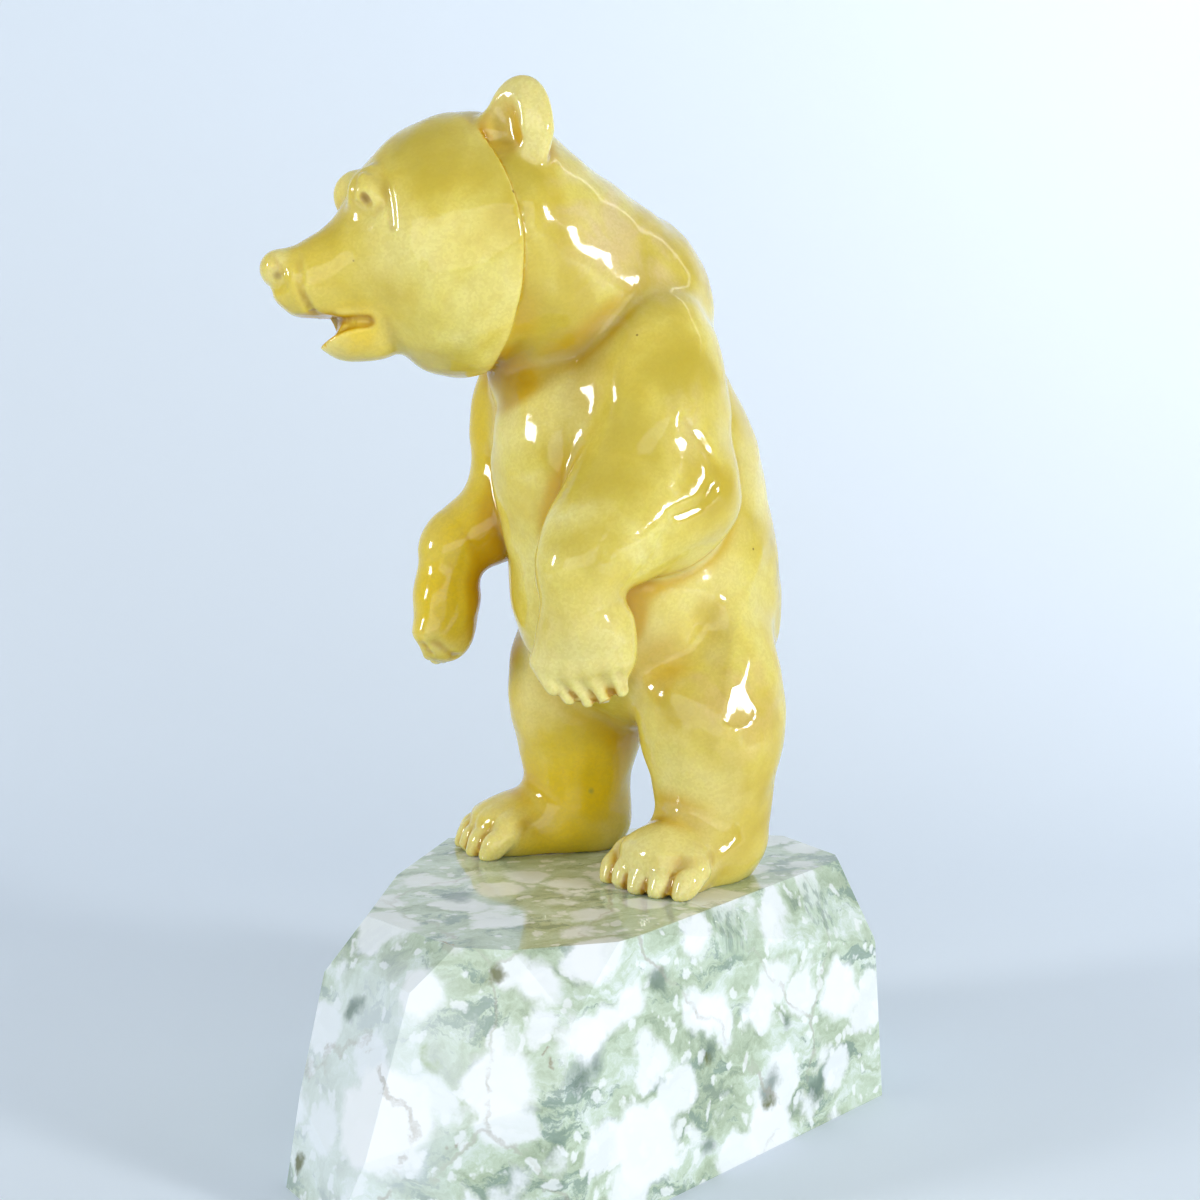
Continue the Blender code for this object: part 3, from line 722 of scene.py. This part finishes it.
# Places on the block, from the soles, that stand out: left, back, up and half width
WHITE_LUMPS = [(21.2, -39.9, -5.6, 2.6), (29.7, -29.3, -3.4, 2.6), (20.5, -44.5, -18.0, 6.0),
               (29.0, -34.4, -12.7, 4.4), (30.6, -18.6, -7.2, 2.7), (31.4, -21.8, -8.2, 2.5),
               (32.4, -25.2, -9.6, 2.6), (27.6, -5.0, -11.0, 2.7), (25.8, 3.2, -13.5, 3.0),
               (32.0, -17.9, -22.8, 5.6), (27.1, 3.6, -27.4, 4.4), (21.9, 19.2, -14.4, 3.6),
               (23.2, 6.4, -3.7, 2.2), (26.9, -6.8, -1.7, 2.4), (30.0, -23.4, -1.2, 2.6)]
DARK_CLOTS = [(33.2, -26.4, -13.0, 1.5), (32.6, -24.8, -12.2, 1.2), (29.3, -13.8, -5.7, 1.6),
              (28.5, -7.1, -15.1, 1.2), (26.4, 4.4, -21.9, 1.5), (24.5, 13.2, -25.4, 1.5),
              (24.7, 8.5, -15.5, 1.2), (10.5, -43.2, -8.5, 1.3), (3.3, -26.1, 0.0, 2.0),
              (29.8, -7.3, -26.5, 1.4)]
OLIVE_SPOTS = [(26.0, -33.1, -2.2, 1.1), (25.6, -33.8, -2.9, 0.7), (8.4, -48.6, -26.1, 1.2),
               (28.9, -7.9, -16.2, 0.8), (26.2, 4.0, -23.6, 0.9)]
PALER_CORNER = [(15.0, -46.0, -16.0, 14.0)]
CHIPS = [(25.5, -0.8, -3.0, 3.2), (19.4, 17.9, -4.2, 4.0)]
# Healed cracks: start, end, half width and colour
CRACKS = [((29.9, -31.0, -7.4), (33.4, -29.1, -11.9), 0.35, "#94896E"),
          ((14.0, -36.0, -1.4), (22.1, -36.4, -0.2), 0.35, "#9A7E4E"),
          ((15.6, -48.0, -23.7), (27.6, -38.4, -18.8), 0.30, "#A49A8B"),
          ((23.6, -39.7, -11.1), (28.6, -36.6, -16.7), 0.9, "#A9BC95")]


def polished_green_marble():
    """White marble broken up and healed with green serpentine, sawn into facets and polished.

    White lumps 5 to 25 mm wide sit in a pale green ground with grey-green clots, olive spots and thin rusty
    veins. The polish mirrors the feet on the top face.
    """
    material, tree, shader = start_material("polished_green_marble", 0.07, 1.56)
    at = add(tree, "ShaderNodeTexCoord").outputs["Object"]
    bent = shifted(tree, at, 0.016, {"Scale": 60, "Detail": 5, "Roughness": 0.6})

    # The green ground, streaked where it flowed between the lumps
    inputs = {"Vector": bent, "Rotation": (0.5, 0.2, 0.1), "Scale": (1.0, 0.5, 1.4)}
    streaks = add(tree, "ShaderNodeMapping", inputs).outputs["Vector"]
    inputs = {"Vector": streaks, "Scale": 90, "Detail": 8, "Roughness": 0.7, "Distortion": 0.4}
    flow = add(tree, "ShaderNodeTexNoise", inputs).outputs["Fac"]
    stops = [(0.34, "#8FA08C"), (0.44, "#B0C0A4"), (0.54, "#C6D6C0"), (0.62, "#DAE5DE"), (0.72, "#F0F5F5")]
    colour = add(tree, "ShaderNodeValToRGB", {"Fac": flow}, stops).outputs["Color"]

    # Grey-green clots, drawn out slantwise
    inputs = {"Vector": bent, "Rotation": (0.7, 0.3, 0.1), "Scale": (1.0, 0.45, 1.6)}
    slanted = add(tree, "ShaderNodeMapping", inputs).outputs["Vector"]
    inputs = {"Vector": slanted, "Scale": 70, "Detail": 7, "Roughness": 0.7}
    clots = add(tree, "ShaderNodeTexNoise", inputs).outputs["Fac"]
    colour = layered(tree, colour, clots, 0.54, 0.61, "#7F968A", 0.75)

    # Lumps of white marble: pebbles of 5 mm, lumps of 15 mm, and the large ones in their places
    pebbles = add(tree, "ShaderNodeTexVoronoi", {"Vector": bent, "Scale": 190}).outputs["Distance"]
    colour = layered(tree, colour, pebbles, 0.34, 0.20, "#F1F5F5", 0.75)
    lumps = add(tree, "ShaderNodeTexVoronoi", {"Vector": bent, "Scale": 62}).outputs["Distance"]
    colour = layered(tree, colour, lumps, 0.48, 0.33, "#F2F6F8", 0.85)
    colour = layered(tree, colour, near_spots(tree, bent, PALER_CORNER, 5.0), 0, 1, "#E9F1F6", 0.6)
    colour = layered(tree, colour, near_spots(tree, bent, WHITE_LUMPS, 0.9), 0, 1, "#F4F8FA", 0.93)
    colour = layered(tree, colour, near_spots(tree, bent, DARK_CLOTS, 0.9), 0, 1, "#5F7568", 0.75)
    colour = layered(tree, colour, near_spots(tree, bent, OLIVE_SPOTS, 0.6), 0, 1, "#5F6424", 0.9)

    # Healed cracks, some rusty, and a green one
    cracks = add(tree, "ShaderNodeTexVoronoi", {"Vector": bent, "Scale": 17}, feature="DISTANCE_TO_EDGE")
    cracked = layered(tree, colour, cracks.outputs["Distance"], 0.014, 0.003, "#A39C8C", 0.5)
    inputs = {"Value": flow, "From Min": 0.42, "From Max": 0.60}
    here = add(tree, "ShaderNodeMapRange", inputs).outputs["Result"]
    colour = add(tree, "ShaderNodeMix", {0: here, 6: colour, 7: cracked}, data_type="RGBA").outputs[2]
    for start, end, half, tint in CRACKS:
        colour = layered(tree, colour, near_line(tree, bent, start, end, half), 0, 1, tint, 0.8)

    # Chipped places, streaked along the crystals
    chips = near_spots(tree, bent, CHIPS, 1.0)
    inputs = {"Vector": at, "Rotation": (0.35, 0, 0), "Scale": (1, 1, 0.12)}
    drawn_out = add(tree, "ShaderNodeMapping", inputs).outputs["Vector"]
    fibres = add(tree, "ShaderNodeTexNoise", {"Vector": drawn_out, "Scale": 700, "Detail": 3}).outputs["Fac"]
    torn = add(tree, "ShaderNodeMath", {0: chips, 1: fibres}, operation="MULTIPLY").outputs[0]
    colour = layered(tree, colour, chips, 0, 1, "#B9CDB4", 0.5)
    colour = layered(tree, colour, torn, 0.42, 0.62, "#7F9384", 0.6)
    bump = add(tree, "ShaderNodeBump", {"Height": torn, "Strength": 1.0, "Distance": 0.001})
    tree.links.new(bump.outputs["Normal"], shader.inputs["Normal"])

    tree.links.new(colour, shader.inputs["Base Color"])
    let_light_in(shader, 0.2, (1.0, 1.0, 0.9), 0.002)
    return material


def matt_paint():
    """Matt emulsion paint on the floor and backdrop, which takes soft shadows and no highlights."""
    material, _, shader = start_material("pale_floor", 0.7, 1.45)
    shader.inputs["Base Color"].default_value = linear("#E9F2FB")
    return material


# The room: a pale floor that curves up into the backdrop, and soft boxes

CAMERA_TURN = 57.0       # degrees from the bear's front towards its left
CAMERA_AWAY = 0.412
CAMERA_SHIFT = Vector((0.010, -0.009, 0.1032))
CAMERA_DIP = 4.53        # degrees down
CAMERA_PAN = 0.42        # degrees to the left
MIDDLE_OF_BEAR = Vector((0, 0, 0.16))
TOWARDS_CAMERA = Vector((math.sin(math.radians(CAMERA_TURN)), -math.cos(math.radians(CAMERA_TURN)), 0))
TO_THE_RIGHT = Vector((math.cos(math.radians(CAMERA_TURN)), math.sin(math.radians(CAMERA_TURN)), 0))

# The floor and backdrop, measured from below the sculpture's middle towards the camera, and up
FLOOR_FRONT = 1.6
FLOOR_BACK = -0.25
BEND = 0.5               # radius of the curve up into the backdrop
BEND_STEPS = 12
BACKDROP_TOP = 2.4
HALF_WIDTH = 6


def sweep():
    """Floor and backdrop in one curved sheet."""
    profile = [(FLOOR_FRONT, 0.0), (FLOOR_BACK, 0.0)]
    for step in range(1, BEND_STEPS + 1):
        turn = math.radians(90 * step / BEND_STEPS)
        profile.append((FLOOR_BACK - BEND * math.sin(turn), BEND * (1 - math.cos(turn))))
    profile.append((FLOOR_BACK - BEND, BACKDROP_TOP))
    bm = bmesh.new()
    rows = []
    for away, height in profile:
        middle = TOWARDS_CAMERA * away + Vector((0, 0, height))
        rows.append([bm.verts.new(middle + TO_THE_RIGHT * side) for side in (-HALF_WIDTH, HALF_WIDTH)])
    for (a, b), (c, d) in zip(rows[:-1], rows[1:]):
        bm.faces.new((a, b, d, c))
    mesh = bpy.data.meshes.new("floor")
    bm.to_mesh(mesh)
    bm.free()
    mesh.shade_smooth()
    mesh.materials.append(matt_paint())
    placed("floor", mesh)


def soft_box(name, turn, lift, distance, size, power, aim=MIDDLE_OF_BEAR):
    """A lamp turn degrees to the camera's right and lift degrees up, facing the place aimed at."""
    a, b = math.radians(turn), math.radians(lift)
    level = TOWARDS_CAMERA * math.cos(a) + TO_THE_RIGHT * math.sin(a)
    towards = level * math.cos(b) + Vector((0, 0, math.sin(b)))
    data = bpy.data.lights.new(name, "AREA")
    data.shape = "RECTANGLE"
    data.size, data.size_y = size
    data.energy = power
    box = placed(name, data)
    box.location = aim + towards * distance
    box.rotation_euler = (-towards).to_track_quat("-Z", "Y").to_euler()


def room():
    sweep()
    soft_box("right_soft_box", 58, 10, 1.1, (0.15, 0.24), 6.0)
    soft_box("left_soft_box", -70, 16, 1.1, (0.18, 0.30), 4.5)
    soft_box("front_fill", 0, 0, 1.8, (2.4, 1.5), 17.0)
    behind = TOWARDS_CAMERA * -0.85 + TO_THE_RIGHT * 0.7 + Vector((0, 0, 0.2))
    soft_box("backdrop_wash", 0, 40, 0.75, (0.9, 0.25), 1.7, behind)
    world = bpy.data.worlds.new("studio air")
    world.use_nodes = True
    air = world.node_tree.nodes["Background"]
    air.inputs["Color"].default_value = linear("#E6EFF8")
    air.inputs["Strength"].default_value = 0.36
    bpy.context.scene.world = world
    bpy.context.scene.view_settings.view_transform = "Standard"

    data = bpy.data.cameras.new("camera")
    data.lens = 49.2
    data.sensor_width = 36.0
    camera = placed("camera", data)
    camera.location = SOLES + TOWARDS_CAMERA * CAMERA_AWAY + CAMERA_SHIFT
    camera.rotation_euler = (math.radians(90 - CAMERA_DIP), 0, math.radians(CAMERA_TURN + CAMERA_PAN))
    bpy.context.scene.camera = camera


def main():
    room()
    bear = carve_bear()
    bear.data.materials.append(polished_honey_calcite())
    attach(bear, "root")
    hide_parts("bear")
    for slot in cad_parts["base"].material_slots:
        slot.material = polished_green_marble()


main()
